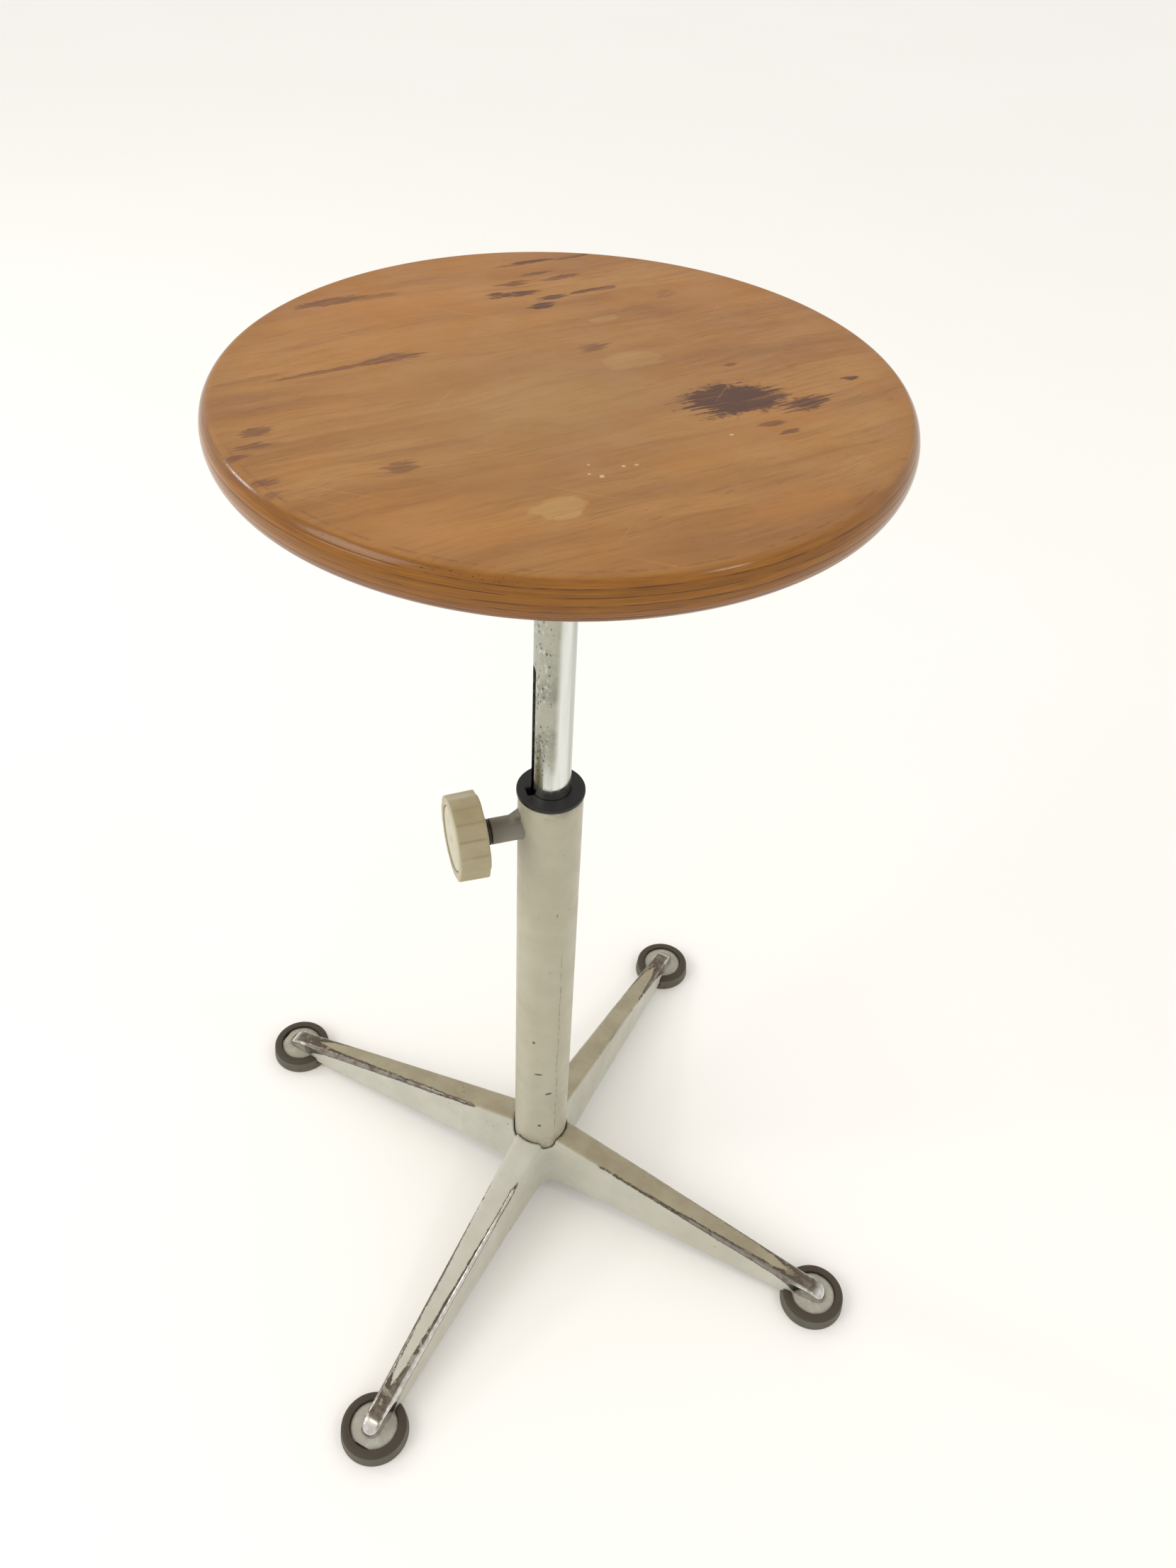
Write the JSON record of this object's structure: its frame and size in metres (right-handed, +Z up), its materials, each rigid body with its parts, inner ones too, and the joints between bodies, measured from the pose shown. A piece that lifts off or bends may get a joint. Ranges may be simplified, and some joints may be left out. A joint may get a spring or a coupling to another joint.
{
  "type": "adjustable swivel stool",
  "caption": "Work stool: round plywood seat that swivels on a chromed mast, raised and clamped by a side knob in a column on a cross-shaped cast base with rubber feet.",
  "frame": {"origin": "on the floor under the column's axis, in the middle of the four feet", "axes": "+Z up along the column; the base arms lie along the X and Y axes and the clamp knob points halfway between -X and -Y"},
  "size_m": [0.5466, 0.5466, 0.714],
  "materials": {
    "plywood": "varnished birch plywood, worn satin",
    "zinc_steel": "dull plated steel",
    "chrome_tube": "bright chrome, lightly pitted",
    "bronze": "plain sintered bronze",
    "nylon": "natural nylon, matt",
    "black_plastic": "black, satin",
    "column_paint": "warm grey-beige enamel, light scratches",
    "cast_paint": "warm grey-beige enamel worn to bare metal on the edges",
    "black_steel": "blackened steel",
    "knob_plastic": "aged ivory moulding, satin",
    "cap_plastic": "pale ivory, satin",
    "rubber": "dark grey, matt"
  },
  "bodies": {
    "base": {"base_casting": "cast_paint", "foot_front": "rubber", "foot_right": "rubber", "foot_back": "rubber", "foot_left": "rubber", "column_tube": "column_paint", "column_plug": "zinc_steel", "base_bolt": "zinc_steel", "base_washer": "zinc_steel", "base_lock_washer": "zinc_steel", "collar_bush": "black_plastic", "clamp_boss": "column_paint"},
    "mast": {"inner_tube": "chrome_tube", "seat_spindle": "zinc_steel", "spindle_pin": "zinc_steel", "thrust_washer": "bronze", "spindle_washer": "zinc_steel", "spindle_circlip": "black_steel", "guide_bush": "nylon", "guide_pin": "zinc_steel"},
    "seat": {"seat_disc": "plywood", "seat_flange": "zinc_steel", "seat_screws": "zinc_steel", "swivel_housing": "zinc_steel", "upper_swivel_bush": "bronze", "lower_swivel_bush": "bronze"},
    "clamp_pad": {"pressure_pad": "bronze"},
    "knob": {"clamp_screw": "zinc_steel", "screw_collar": "black_steel", "clamp_knob": "knob_plastic", "knob_cap": "cap_plastic"}
  },
  "joints": [
    {"name": "seat_height", "type": "slide", "parent": "base", "child": "mast", "axis": [0, 0, 1], "range_m": [-0.124, 0.134]},
    {"name": "seat_swivel", "type": "hinge", "parent": "mast", "child": "seat", "pos_m": [0, 0, 0.66], "axis": [0, 0, 1], "continuous": true},
    {"name": "screw_travel", "type": "slide", "parent": "base", "child": "clamp_pad", "axis": [-0.7071, -0.7071, 0], "range_m": [0, 0.00225]},
    {"name": "knob_turn", "type": "hinge", "parent": "clamp_pad", "child": "knob", "pos_m": [-0.04, -0.04, 0.415], "axis": [-0.7071, -0.7071, 0], "range_deg": [0, 540]}
  ],
  "couplings": [
    {"joint": "screw_travel", "follows": "knob_turn", "m_per_rad": 0.00023873}
  ]
}
